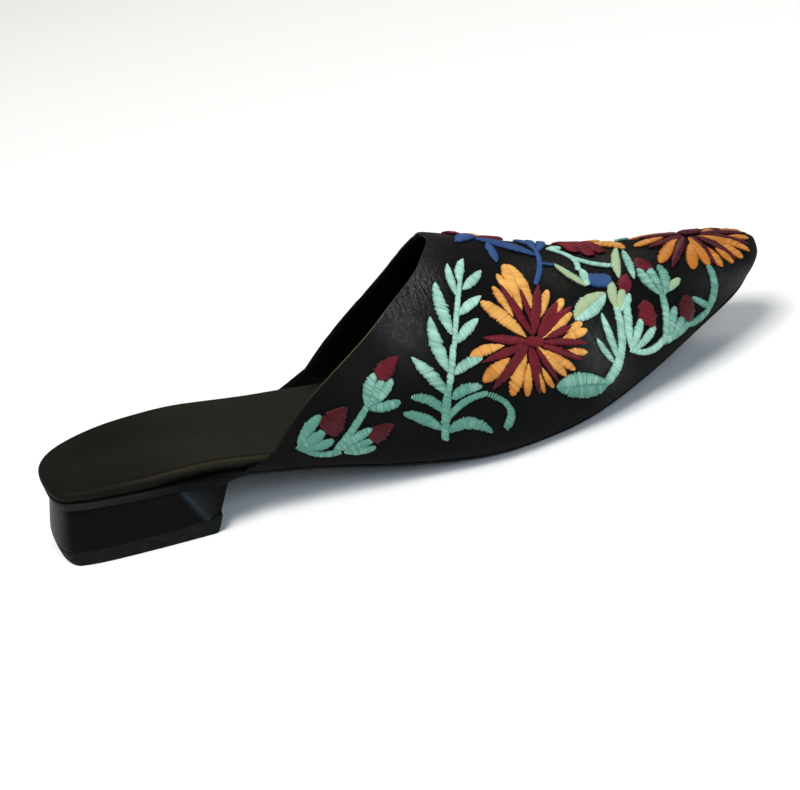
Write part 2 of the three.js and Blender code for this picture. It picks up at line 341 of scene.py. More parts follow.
# a piece's finish: its colour, its roughness plus spread times the streaks, and the bump of a height
def finish(shader, piece, colour, streaks, height):
    relief = height.bump(*piece["relief"])
    feed(shader, {
        "Base Color": colour,
        "Roughness": piece["roughness"] + piece["spread"] * streaks,
        "Normal": relief})
    return relief


# black leather: pebble cells and fine pores in the bump, brown where it is worn, glossier and wrinkled
# where the vamp's polish value says it is worked, with a painted sheen of the same brown there, and a raw
# brown edge on the fold
leather = {
    "dark": (0.0012, 0.0012, 0.0012, 1), "worn": (0.008, 0.0074, 0.0056, 1),
    "edge": (0.085, 0.066, 0.03, 1), "fixed": {"Specular IOR Level": 0.09},
    # patterns: so many per metre, with the noise's detail and roughness
    "pebble": 1150, "pores": (3200, 2), "wrinkles": (330, 3, 0.6), "clouds": (60, 4), "wiped": (300, 3),
    "pebbleHeight": 0.5, "poreHeight": 0.25, "wrinkleHeight": 0.3, "workedHeight": 3.5,
    "wrinkleStretch": (2.2, 0.8, 0.8), "relief": (0.9, 0.0004),
    # polishSheen: how far polish takes the colour towards worn, a painted sheen
    "wornFrom": (0.35, 0.75), "wear": 0.25, "polishSheen": 0.6, "roughness": 0.72, "spread": 0.1,
    "gloss": 0.34, "polish": 0.8, "wipedLeast": 0.3, "wipedMore": 1.4,
}


# height: each grain times its share, with more wrinkles where worked; colour: dark to worn by the clouds,
# with more worn brown by polish as a painted sheen, then to the raw edge by the fold; a glossy leather with
# the same relief is mixed in by polish times streaks
def leatherMaterial():
    material, shader, position = newMaterial("leatherBlack", leather)
    polish, fold = position.pointValue("polish"), position.pointValue("fold")
    wiped = position.noise(*leather["wiped"])
    pebble, pores = position.cells(leather["pebble"]), position.noise(*leather["pores"])
    wrinkles = position.stretch(*leather["wrinkleStretch"]).noise(*leather["wrinkles"])
    height = (pebble * leather["pebbleHeight"] + pores * leather["poreHeight"]
              + wrinkles * (leather["wrinkleHeight"] + leather["workedHeight"] * polish))
    clouds = position.noise(*leather["clouds"]).between(*leather["wornFrom"])
    # worn: real wear by the clouds, plus a painted sheen where the vamp is polished
    worn = clouds * (leather["wear"] + leather["polishSheen"] * polish)
    colour = fold.mix(worn.mix(leather["dark"], leather["worn"]), leather["edge"])
    relief = finish(shader, leather, colour, wiped, height)
    glossy = position.node("ShaderNodeBsdfPrincipled", None,
                           {"Base Color": colour, "Roughness": leather["gloss"], "Normal": relief})
    worked = leather["polish"] * polish * (leather["wipedLeast"] + leather["wipedMore"] * wiped)
    surface = position.node("ShaderNodeMixShader", None,
                            {0: worked, 1: Wire(position.tree, shader.outputs[0]), 2: glossy})
    feed(position.tree.nodes["Material Output"], {"Surface": surface})
    return material


# lining: dull dark leather with a soft flesh-side nap
lining = {
    "along": 70, "across": 81, "foldSteps": 3, "setBack": 0.5, "outer": 1.15, "inner": 1.8,
    "dark": (0.0007, 0.0007, 0.0007, 1), "pale": (0.0022, 0.0019, 0.0015, 1), "paleFrom": (0.35, 0.7),
    "fixed": {"Specular IOR Level": 0.06}, "nap": (900, 4, 0.7), "relief": (0.4, 0.0002),
    "roughness": 0.6, "spread": 0.2,
}


# colour from dark to pale, roughness and bump, all by the noise of the nap
def liningMaterial():
    material, shader, position = newMaterial("liningDark", lining)
    nap = position.noise(*lining["nap"])
    finish(shader, lining, nap.between(*lining["paleFrom"]).mix(lining["dark"], lining["pale"]), nap, nap)
    return material


# girth table: for stations down the shoe, the run of the skin from the ridge at each around
tableAt = np.linspace(62, 284.6, 280)  # from behind the collar to just short of the tip
tableAround = np.linspace(-1, 1, 321)
skin = bend(lastPoint(stationAngle(tableAt)[:, None], tableAround[None]))
skinRun = np.cumsum(np.linalg.norm(np.diff(skin, axis=1, prepend=skin[:, :1]), axis=2), axis=1)
skinRun = skinRun - skinRun[:, [len(tableAround) // 2]]
girthGrid = np.linspace(-100, 100, 401)  # every half millimetre
aroundOf = np.stack([np.interp(girthGrid, run, tableAround) for run in skinRun])


# looks a table up at fractional rows and columns, blending its four neighbours
def lookUp(table, row, column):
    i = np.clip(np.floor(row).astype(int), 0, table.shape[0] - 2)
    j = np.clip(np.floor(column).astype(int), 0, table.shape[1] - 2)
    u, v = np.clip(row - i, 0, 1), np.clip(column - j, 0, 1)
    return ((table[i, j] * (1 - v) + table[i, j + 1] * v) * (1 - u)
            + (table[i + 1, j] * (1 - v) + table[i + 1, j + 1] * v) * u)


# row number of a station in the girth table
def tableRow(at):
    return (at - tableAt[0]) / (tableAt[1] - tableAt[0])


# a point of the vamp from its station and its girth from the ridge (minus is lateral)
def vampPoint(at, girth):
    around = lookUp(aroundOf, tableRow(at), (girth - girthGrid[0]) / (girthGrid[1] - girthGrid[0]))
    return bend(lastPoint(stationAngle(at), around))


# girth of a point of the vamp from its station and its around
def vampGirth(at, around):
    return lookUp(skinRun, tableRow(at), (around + 1) / (tableAround[1] - tableAround[0]))


# vamp: outer leather folded over at the collar, its fold raw on the outer side
vamp = {
    "along": 150, "across": 181, "wall": 1.1, "foldSteps": 7,
    "raw": 0.03, "rawMore": 0.9, "rawSpot": (122, 20),  # the fold's raw edge, most at a station
    # creases: (at, girth) to (at, girth), depth, width; they fade over shares of their length, and wander
    "creaseFrom": (-0.1, 0.3), "creaseTo": (0.7, 1.1), "wander": 0.9, "waves": 5,
    "ridge": 0.35, "ridgeOff": 1.6,
    "creases": [
        (126, -44, 140, -62, 0.22, 1.6), (131, -40, 145, -58, 0.16, 1.3), (135, -33, 150, -44, 0.2, 1.5),
        (120, -52, 131, -70, 0.18, 1.5), (143, -24, 160, -33, 0.18, 1.6), (150, -8, 172, -14, 0.22, 2.0),
        (152, 2, 176, 4, 0.2, 2.2), (150, 14, 170, 24, 0.2, 2.0), (146, 28, 158, 44, 0.18, 1.8),
        (130, 46, 142, 66, 0.2, 1.8), (170, -6, 196, -10, 0.16, 2.4), (172, 10, 198, 16, 0.16, 2.4),
        (104, -64, 112, -84, 0.18, 1.6), (114, 62, 126, 82, 0.18, 1.8),
    ],
    # polished and worked places, glossier, more wrinkled and with a painted sheen in their colour: at,
    # girth, reach along, reach around, weight
    "polished": [
        (136, -42, 8, 13, 0.95), (148, -26, 8, 9, 1.0), (152, -8, 8, 10, 0.2), (118, -62, 10, 10, 0.1),
        (160, 6, 14, 14, 0.2), (204, -50, 9, 13, 1.0), (196, -22, 12, 10, 0.5), (222, -10, 16, 8, 0.4),
        (262, -24, 14, 8, 0.5), (150, 40, 16, 16, 0.6),
    ],
}


# sum of soft troughs: each sinks by depth times a soft spot of the distance, faded at both ends, with a
# ridge of a third of its depth beside it
def creaseHeight(at, girth):
    height = np.zeros_like(at)
    for at0, girth0, at1, girth1, depth, width in vamp["creases"]:
        dx, dy = at1 - at0, girth1 - girth0
        size = np.hypot(dx, dy)
        along = ((at - at0) * dx + (girth - girth0) * dy) / size ** 2
        wander = vamp["wander"] * np.sin(along * vamp["waves"] + at0)
        off = ((girth - girth0) * dx - (at - at0) * dy) / size + wander
        fade = smoothStep(along, *vamp["creaseFrom"]) * (1 - smoothStep(along, *vamp["creaseTo"]))
        beside = spot(off, vamp["ridgeOff"] * width, width)
        height += fade * depth * (vamp["ridge"] * beside - spot(off, 0, width))
    return height


# sum of soft spots, weight times the spot along times the spot around, never over 1
def polishAmount(at, girth):
    amount = np.zeros_like(at)
    for at0, girth0, reachAt, reachGirth, weight in vamp["polished"]:
        amount += weight * spot(at, at0, reachAt) * spot(girth, girth0, reachGirth)
    return np.minimum(amount, 1)


# the vamp's skin: columns from the lateral edge over the ridge, rows from the collar's cut to the tip
def vampGrid(along, across, setBack=0):
    around = np.linspace(-1, 1, across)
    start = stationAngle(tableCurve(collar["around"], collar["at"], around) + setBack)
    share = np.linspace(0, 1, along)[:, None]
    angle = start[None] + (np.pi - start[None]) * share
    return angle, np.broadcast_to(around, angle.shape)


# a closed shell from a skin: rows of the inner wall along the normals, of a half circle turned over the
# collar, and of the outer wall; strips close it under the foot, and fans from the corners the fold's ends
def shell(outer, outerDepth, innerDepth, foldSteps):
    rows, columns = outer.shape[:2]
    normals = gridNormals(outer)
    radius = (innerDepth - outerDepth) / 2
    top, floor = outer - normals * outerDepth, outer - normals * innerDepth
    off = outer[0] - outer[1]
    off = unit(off - normals[0] * (off * normals[0]).sum(1, keepdims=True))
    turn = np.linspace(np.pi, 0, foldSteps + 2)[1:-1, None, None]
    fold = top[0] + off * radius * np.sin(turn) - normals[0] * radius * (1 - np.cos(turn))
    sheet = np.concatenate([floor[::-1], fold, top])
    count = len(sheet)
    lines = np.arange(rows - 1)
    outerRow, innerRow = count - rows + lines, rows - 1 - lines
    strip = np.stack([outerRow * columns, (outerRow + 1) * columns,
                      (innerRow - 1) * columns, innerRow * columns], 1)
    hoop = (np.arange(foldSteps + 2) + rows - 1) * columns
    fan = np.stack([np.full(len(hoop) - 2, hoop[0]), hoop[2:], hoop[1:-1], hoop[1:-1]], 1)
    farStrip, farFan = [near[:, ::-1] + columns - 1 for near in (strip, fan)]
    return sheet, np.concatenate([gridFaces(count, columns), strip, farStrip, fan, farFan])


angle, around = vampGrid(vamp["along"], vamp["across"])
outer = bend(lastPoint(angle, around))
station = np.clip(angleStation(angle), tableAt[0], tableAt[-1])
girth = vampGirth(station, around)
outer = outer + gridNormals(outer) * creaseHeight(station, girth)[..., None]
polish = polishAmount(station, girth)
polish = np.concatenate([polish * 0, np.repeat(polish[:1], vamp["foldSteps"], 0), polish])
fold = np.zeros_like(polish)
rawSpot = spot(station[0], *vamp["rawSpot"]) * (girth[0] < 0)
fold[vamp["along"]:-vamp["along"]] = vamp["raw"] + vamp["rawMore"] * rawSpot
sheet, quads = shell(outer, 0, vamp["wall"], vamp["foldSteps"])
vampLeather = weldedPiece("vamp", sheet, quads, leatherMaterial(),
                          {"polish": polish, "fold": fold})
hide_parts("upper")
skin = bend(lastPoint(*vampGrid(lining["along"], lining["across"], lining["setBack"])))
sheet, quads = shell(skin, lining["outer"], lining["inner"], lining["foldSteps"])
weldedPiece("vampLining", sheet, quads, liningMaterial(), {})


# threads: sizes of the stitches, how much painted shade darkens them towards the toe, low down and between
# strands, each thread's dark and light
thread = {
    "across": 0.78, "pitch": 0.56, "fewest": 4, "sink": 0.12, "uneven": 0.07, "slantReach": 1.6, "seed": 11,
    "puff": 0.14, "puffRise": 0.15, "puffMost": 0.95,
    "shade": 0.2, "shadeMore": 0.6, "grooveShade": 0.6,
    "toeShade": 0.9, "toe": (218, 246), "lowShade": 1.0, "low": (50, 74),
    "fixed": {"Sheen Weight": 0.04, "Sheen Roughness": 0.3, "Specular IOR Level": 0.2},
    "shadeShare": 0.5, "driftShare": 0.6, "down": 0.05, "drift": (90, 2),
    "roughness": 0.42, "spread": 0.2, "fibres": (5200, 2), "relief": (0.25, 0.00006),
    "colours": {
        "orange": ((0.42, 0.14, 0.016, 1), (1.0, 0.58, 0.16, 1)),
        "maroon": ((0.048, 0.001, 0.004, 1), (0.23, 0.009, 0.021, 1)),
        "mint": ((0.085, 0.235, 0.18, 1), (0.58, 0.89, 0.74, 1)),
        "paleGreen": ((0.27, 0.39, 0.23, 1), (0.42, 0.50, 0.29, 1)),
        "blue": ((0.014, 0.046, 0.15, 1), (0.034, 0.092, 0.23, 1)),
    },
}
# shape: how blunt the start and end are (0 square, 1 sharp), the stitches' slant, and the lift over others
shapes = {
    "leaf": (0.6, 0.7, 0.45, 0.0), "round": (0.5, 0.48, 0.3, 0.0), "stem": (0.1, 0.1, 0.3, 0.05),
    "petal": (0.75, 0.5, 0.25, 0.0), "long": (0.55, 0.7, 0.3, 0.22), "bud": (0.3, 0.75, 0.2, 0.0),
    "sepal": (0.6, 0.45, 0.3, 0.18), "knot": (0.5, 0.5, 0.1, 0.5), "fill": (0.22, 0.22, 0.15, 0.0),
    "berry": (0.3, 0.5, 0.15, 0.0),
}
# strokes of the embroidery: a motif has runs of one thread and shape, and each stroke in a run goes from
# (at, girth) to (at, girth) with a width and a bow
motifs = {
    "budSprig": [
        ("maroon", "bud", [(100, -80, 109, -71, 8.5, 0.5), (122, -61, 130.5, -53, 6, 0.4),
            (114, -83.5, 123, -78, 6, 0.3)]),
        ("mint", "sepal", [(89, -85.5, 99.5, -73.5, 4, 0.8), (90, -85.5, 99.5, -79.5, 4, 0),
            (91, -86, 101.5, -83, 3.6, -0.6)]),
        ("mint", "stem", [(88.5, -85.5, 103, -87.5, 2.6, -2), (101, -87.5, 115.5, -71, 2.6, -0.5)]),
        ("mint", "sepal", [(115.5, -71, 121.5, -59, 4, 0.8), (116, -71, 123.5, -61, 3.4, 0),
            (117, -70.5, 126.5, -61, 3.2, -0.6)]),
        ("mint", "round", [(116, -71.5, 127, -69.5, 4.2, -0.6)]),
        ("mint", "sepal", [(103, -87, 115.5, -79.5, 3.6, 0.6), (104, -87.5, 115, -83.5, 3.2, 0),
            (104, -88, 115, -86.5, 3, -0.5)]),
    ],
    "fern": [
        ("mint", "stem", [(138.5, -85.5, 144, -66, 3.2, 0.3), (144, -67, 150, -51, 2.5, 0),
            (150, -52, 160.5, -26, 2, 0.3)]),
        ("mint", "round", [(138.5, -81.5, 127, -74, 4.8, -1.2), (140.5, -75.5, 131, -68, 4.3, -2.2)]),
        ("mint", "leaf", [(142.5, -68, 135, -53.5, 5.2, -0.8), (145.5, -60, 145.5, -40, 5, 1),
            (150.5, -47, 151.5, -27, 4.8, 0.8), (157, -33, 158.5, -17.5, 3, 0.6),
            (159.5, -27.5, 165, -13.5, 3.3, 0.4), (160, -30, 169.5, -20, 3.6, -0.5),
            (155, -40, 165.5, -32.5, 3.4, 0), (151, -50, 161.5, -41.5, 3.6, 0)]),
        ("mint", "round", [(147.5, -61, 158.5, -56, 4, 0.8), (144.5, -70, 155.5, -66.5, 4.4, 1.2)]),
        ("mint", "stem", [(141.5, -77, 157, -69, 2.6, 1.6), (156, -69, 160, -83, 2.9, 5.5)]),
        ("mint", "round", [(140, -82.5, 155, -84.5, 5, 3.6)]),
    ],
    "sideDaisy": [
        ("orange", "petal", [(178.5, -37, 179.8, -15, 5, 0.6), (182.3, -37, 181, -15, 5, -0.8),
            (176.5, -33, 175, -21.5, 3.2, 0), (174.3, -40, 171.5, -28, 3.6, 0.3),
            (176.5, -47.5, 165, -34.5, 6.4, 0), (167.5, -51, 154.5, -55.5, 3.8, -0.5),
            (168, -55.5, 156.5, -64.5, 4.6, 0), (174.8, -52, 165, -69.5, 4.6, 0),
            (174.5, -57, 170.5, -69.5, 3.2, 0), (176, -55, 177.2, -68, 2.8, 0),
            (178.5, -58, 181, -66, 3, 0), (179.5, -50.5, 187, -61.5, 4.4, 0),
            (182, -52, 191, -59, 4.2, 0), (188.5, -52.5, 197.5, -52, 3, 0),
            (189.5, -48, 200, -43.5, 3.4, 0), (192, -45, 199, -41, 2.8, 0),
            (182.5, -47.5, 196.5, -37.5, 3.8, 0), (188.5, -39.5, 195.5, -32, 3.2, 0),
            (184, -40, 191.2, -28.5, 3.2, 0)]),
        ("maroon", "long", [(179, -47, 174.3, -27, 3.6, 0.6), (180.3, -43, 181, -27.5, 2.2, 0),
            (179.5, -46, 188.5, -26.5, 3.8, 0), (181, -47, 193.5, -33, 3.8, 0),
            (182, -47, 197.5, -35, 3.2, 0.4), (184, -47.5, 195, -42.5, 2.8, 0),
            (182, -49, 198.5, -48.5, 3, 0), (181, -50, 195, -55, 3.6, 0), (179, -51, 183.5, -64, 2.8, 0),
            (177.5, -51, 178, -62, 2, 0), (176.5, -51, 175.3, -68.5, 3, 0),
            (176, -50.5, 159, -67.5, 3.6, 0), (175.5, -50, 158, -57.5, 3, 0),
            (177, -49, 161, -48.5, 3.8, 0)]),
        ("maroon", "knot", [(175, -49.5, 182.5, -48.5, 4.4, 0)]),
    ],
    "lowLeaf": [
        ("mint", "leaf", [(182.5, -66, 203, -63.5, 5.6, 2.4), (183, -66.5, 202.5, -63.8, 5.6, -2),
            (197, -40, 212.5, -28.5, 4.2, -1.2)]),
        ("paleGreen", "leaf", [(197, -39.5, 212.5, -28, 4.4, 1.6)]),
    ],
    "budStems": [
        ("mint", "stem", [(201.5, -63.5, 211, -50, 3.4, -1), (210.8, -51, 214.5, -34, 3.1, -0.6)]),
        ("mint", "leaf", [(206.8, -55.5, 203, -46.5, 3, 0.4), (208.5, -53.5, 208, -36.5, 3.2, 0.2)]),
        ("mint", "sepal", [(215, -35.5, 221.5, -29, 3, -0.5), (214.8, -50, 219.5, -32.5, 3.4, 0.8),
            (215, -50, 222.8, -38.5, 3.2, 0), (216, -50, 227, -41.5, 3, -0.6)]),
        ("mint", "stem", [(214.5, -50, 229, -47, 2.8, -2.4), (228, -47.5, 241, -41.5, 3.6, -0.8),
            (230, -47, 234, -29, 3, -0.8)]),
        ("mint", "sepal", [(233, -30, 230, -17, 4.2, 1.2), (234, -29, 233.3, -15.5, 3.8, 0),
            (234.8, -30, 238, -16.5, 4.2, -1.2), (232.5, -45.5, 237.5, -35, 3.4, 0.5),
            (234, -45, 240, -38.5, 3.4, 0)]),
        ("mint", "stem", [(240, -41.8, 252, -37, 3, -1.2), (251, -37.5, 257.5, -19.5, 3, -2.2)]),
        ("mint", "round", [(253, -35.5, 246, -31.5, 3.4, 0.4)]),
        ("maroon", "bud", [(219.5, -27.5, 224.3, -19.5, 5.4, 0)]),
        ("maroon", "berry", [(224.3, -41.5, 226.8, -32, 7.4, 0)]),
        ("maroon", "bud", [(232.5, -19, 231.5, -10.5, 7.4, 0)]),
        ("maroon", "berry", [(240.3, -40, 244.3, -31, 6.9, 0)]),
        ("paleGreen", "sepal", [(214, -35, 217, -23, 3.8, 0.6), (214.5, -35.5, 220, -26.5, 3.2, 0)]),
        ("paleGreen", "round", [(235.5, -28.5, 243.5, -24, 3.4, 0)]),
    ],
    "tulip": [
        ("mint", "stem", [(200.5, 1, 206.5, -16, 2.4, 4), (207, -5.5, 222, -14, 2.7, -1.6)]),
        ("mint", "sepal", [(208, -15, 206.5, -24.5, 4, 0.6)]),
        ("mint", "leaf", [(226, -22, 229, -3.5, 3.4, 0)]),
        ("mint", "round", [(201, 0.5, 206.5, 3, 4, 0)]),
        ("paleGreen", "sepal", [(199, -12.5, 206.5, -25, 3.6, -0.6)]),
        ("paleGreen", "leaf", [(220.5, -21, 227.5, -1, 3.6, 0.8)]),
        ("blue", "fill", [(208, -21.5, 217, -22, 8, 0)]),
        ("blue", "stem", [(194, -12.5, 199.5, -12.5, 1.8, 0)]),
    ],
    "blueSpray": [
        ("blue", "leaf", [(176.5, 13, 166, -0.5, 5.8, 0), (175.5, 6.5, 194, -6.5, 6.2, 0.6),
            (178.5, 1.5, 177, -13.5, 3.8, 0), (195.3, -2, 201, 20.5, 3.8, 1.6),
            (196, -2, 202.5, 19.5, 3.8, -1.4), (195.5, 3, 191.5, 12, 3.4, 0)]),
        ("blue", "stem", [(195.5, -1, 187.5, -26, 2.1, 1.6)]),
    ],
    "rosette": [
        ("maroon", "petal", [(171, 33, 157.5, 57, 8.5, 0), (168, 31, 148.5, 45, 6.8, 0),
            (176.5, 29, 190, 29, 9, 0.4), (172, 26, 168, 12.5, 8.6, 0), (176.5, 23, 186, 9.5, 7.2, 0)]),
        ("orange", "sepal", [(168.5, 32, 155, 49, 4.8, 0), (175.5, 29.5, 172.5, 43, 6.4, -0.5),
            (170.5, 27, 161, 26.5, 7, 0), (175, 25, 176.5, 12, 6.2, 0), (176.5, 27, 188, 18.5, 4.8, 0)]),
        ("orange", "knot", [(169, 31.5, 177.5, 24.5, 6, 0)]),
    ],
    "pomegranate": [
        ("maroon", "fill", [(210.5, -2, 209.5, 25, 7, -0.8), (215.5, -5.5, 214, 23, 6.6, 0),
            (220.5, -4, 219, 15, 5.4, 0.6)]),
        ("maroon", "leaf", [(213.5, 20, 210, 34, 4.6, 0)]),
        ("orange", "sepal", [(218, 22, 210.5, 47.5, 5.8, 0.6), (217, 18.5, 223.5, 11, 6.6, 2.4),
            (218, 5, 229.5, -3, 5.6, 3)]),
    ],
    "innerSprays": [
        ("paleGreen", "leaf", [(202, 26, 199.5, 54, 6.2, 0.6)]),
        ("paleGreen", "stem", [(199.5, 53, 211, 36.5, 1.8, 0), (200, 53, 187, 74, 2, 0)]),
        ("paleGreen", "leaf", [(226, 24, 228, 48, 8.5, 0.8), (224, 28, 211, 60, 5, 0.6)]),
        ("paleGreen", "round", [(224, 21, 239, 25.5, 4.6, -0.8)]),
        ("paleGreen", "leaf", [(162, 68, 178, 46, 4.6, 0), (160, 68, 171, 50, 4, 0),
            (164, 68, 179.5, 51, 3.6, 0)]),
        ("paleGreen", "stem", [(150, 80, 163, 66, 2.6, 0), (226, 46, 222, 60, 2.2, 0)]),
        ("mint", "stem", [(224, 20.5, 236.5, 14.5, 2.1, 2.6), (236.5, 15.5, 230.5, 9.5, 2.6, 2.4)]),
        ("maroon", "petal", [(178, 68, 188.5, 48, 6.2, 0), (181, 70, 188, 60, 4, 0),
            (183, 66, 170, 82, 3.4, 0)]),
        ("orange", "petal", [(181, 64, 166, 79, 6, 0)]),
        ("blue", "leaf", [(222, 52, 215, 62, 4.2, 0)]),
    ],
    "lily": [
        ("maroon", "petal", [(134, 72, 146, 50, 6.2, 0)]),
        ("maroon", "long", [(131, 80, 146, 65, 2.8, 0)]),
        ("maroon", "petal", [(130, 82, 120, 76, 5, 0)]),
        ("orange", "petal", [(133, 80, 151.5, 60, 5.2, -1.2), (131, 77, 148, 58, 4.4, 1.4)]),
        ("mint", "stem", [(129, 84, 124, 88, 3, 0)]),
    ],
    "toeDaisy": [
        ("orange", "petal", [(257, 6.5, 236.5, 20.5, 5.8, 0), (250, 17.5, 239.5, 29, 4, 0),
            (247, 25, 238, 38, 4.2, 0), (252, 24, 246, 42, 5, 0), (258, 17, 253, 38, 4.2, 0),
            (263.5, 13, 260, 32, 4.6, 0), (269.5, 12, 267, 28, 4.2, 0), (265.5, 4.5, 276, 15, 5.6, 0),
            (273.5, 4.5, 279.3, 10, 3.4, 0), (272, 2.5, 281, 4.5, 3.8, 0),
            (272.5, -2.5, 281, -3.5, 3.6, 0), (262, 0.5, 277.5, -12, 4.8, 0),
            (266, -6, 272.5, -16.5, 4.6, 0), (264.5, -10, 267.5, -19, 3.4, 0),
            (260.5, -8, 262.5, -20.5, 3.8, 0), (258, 0, 257.5, -19.5, 4.8, 0),
            (256.5, -5, 250.5, -20, 5, 0), (253.5, 1, 239, -15, 5.2, 0),
            (248.5, 3.5, 234.5, -1.5, 4.2, 0)]),
        ("maroon", "long", [(256.5, 4.5, 240, 7, 4.6, 0), (256, 2, 239, -4.5, 3.8, 0),
            (256, 0.5, 242.5, -18.5, 4.2, 0), (259, 0.5, 260.5, -20, 3, 0),
            (261, 0, 269.5, -17.5, 3.6, 0), (263.5, 1.5, 279, -8.5, 3.4, 0), (264, 3, 282, 0.5, 3.6, 0),
            (264, 6, 278, 11, 3, 0), (263, 9, 271.5, 19, 4.6, 0), (262, 9.5, 264.5, 26, 4, 0),
            (260, 11, 256.5, 38, 4.2, 0), (257, 12, 249, 32, 3.6, 0), (256, 10, 241, 31, 4.4, 0)]),
        ("maroon", "knot", [(255.5, 5.5, 264.5, 4.5, 6, 0)]),
    ],
}


# dark to light by the stitch's shade value, its own random tone less painted shade, and a slow drift, with
# fine fibres in the bump
def threadMaterial(name):
    material, shader, position = newMaterial("thread" + name[0].upper() + name[1:], thread)
    shade = position.pointValue("shade")
    drift = position.noise(*thread["drift"])
    lightness = shade * thread["shadeShare"] + drift * thread["driftShare"] - thread["down"]
    finish(shader, thread, lightness.mix(*thread["colours"][name]), shade, position.noise(*thread["fibres"]))
    return material


# stitches of one stroke: the centre line is a quadratic from start to end bowed sideways, and each stitch
# crosses it at a slant, as wide as (t to the start) times (1 - t to the end), scaled to its greatest value
def strokeStitches(shape, stroke, random):
    at0, girth0, at1, girth1, width, bow = stroke
    start, end, slant, lift = shapes[shape]
    line = np.array([at1 - at0, girth1 - girth0])
    length = np.hypot(*line)
    side = np.array([-line[1], line[0]]) / length
    count = max(thread["fewest"], int(length / thread["pitch"]))
    t = ((np.arange(count) + 0.5) / count)[:, None]
    middle = np.array([at0, girth0]) + line * t + side * bow * 4 * t * (1 - t)
    ahead = unit(line + side * bow * 4 * (1 - 2 * t))
    crest = start / (start + end)
    reach = t ** start * (1 - t) ** end / (crest ** start * (1 - crest) ** end)
    puff = np.minimum(thread["puff"] + thread["puffRise"] * width * reach[:, 0], thread["puffMost"])
    reach = 0.5 * width * reach * (1 + thread["uneven"] * random.normal(size=(count, 2)))
    across = np.stack([-ahead[:, 1], ahead[:, 0]], 1)
    slope = ahead * slant * np.minimum(reach.mean(1, keepdims=True), thread["slantReach"])
    left = middle + across * reach[:, :1] + slope
    right = middle - across * reach[:, 1:] - slope
    # shade: a random tone per stitch, less painted shade towards the toe and low down
    shade = (thread["shade"] + thread["shadeMore"] * random.random(count)
             - thread["toeShade"] * smoothStep(middle[:, 0], *thread["toe"])
             - thread["lowShade"] * smoothStep(-middle[:, 1], *thread["low"]))
    return left, right, ahead, puff, np.full(count, lift), shade


# fit of the drawn pattern to the last: the spans in millimetres that its parts fade over, and their shares
ease = {
    "instepOn": (105, 150), "instepOff": (165, 195), "instepFall": 0.75, "deepest": 90, "shown": (5, 45),
    "low": (55, 90), "lowFall": 0.45, "forward": 0.02, "instepForward": 0.5, "back": 0.2,
    "toe": (240, 262), "toeBack": 0.6, "ridge": (-28, -4), "ridgeOff": (200, 225), "ridgeFall": 0.6,
    "drop": 0.5, "instepDrop": 1.7, "ridgeDrop": 2.4, "rise": 30, "tip": 284,
}


# lays the drawn pattern on the last: on the side that shows, at moves to the toe by a share of the way down
# and girth moves down by the drop, both more over the instep, less low down and at the toe
def easePattern(at, girth):
    instep = smoothStep(at, *ease["instepOn"])
    instep = instep * (1 - ease["instepFall"] * smoothStep(at, *ease["instepOff"]))
    down = np.clip(-girth, 0, ease["deepest"])
    shown = 1 - smoothStep(girth, *ease["shown"])
    low = 1 - ease["lowFall"] * smoothStep(down, *ease["low"])
    ahead = ease["instepForward"] * instep - ease["back"] - ease["toeBack"] * smoothStep(at, *ease["toe"])
    along = at + ease["forward"] * down + ahead * shown
    ridge = smoothStep(girth, *ease["ridge"]) * (1 - ease["ridgeFall"] * smoothStep(at, *ease["ridgeOff"]))
    lower = (ease["drop"] + ease["instepDrop"] * instep) * low + ease["ridgeDrop"] * ridge
    return along.clip(tableAt[0], ease["tip"]), girth + np.minimum(down / ease["rise"], 1) - lower * shown


# strand of a stitch: places from end to end, degrees and girths of its rings, and how deep between its
# neighbours a point lies, along and round it, which darkens it as painted shade
strand = {
    "along": [-1, -0.86, -0.4, 0.4, 0.86, 1], "round": [-25, 40, 90, 140, 205], "girths": [0.95, 1, 1, 0.95],
    "deepAlong": [0.5, 0, 0, 0.5], "deepRound": [1, 0.2, 0, 0.2, 1], "seat": 0.4, "probe": 0.15,
}


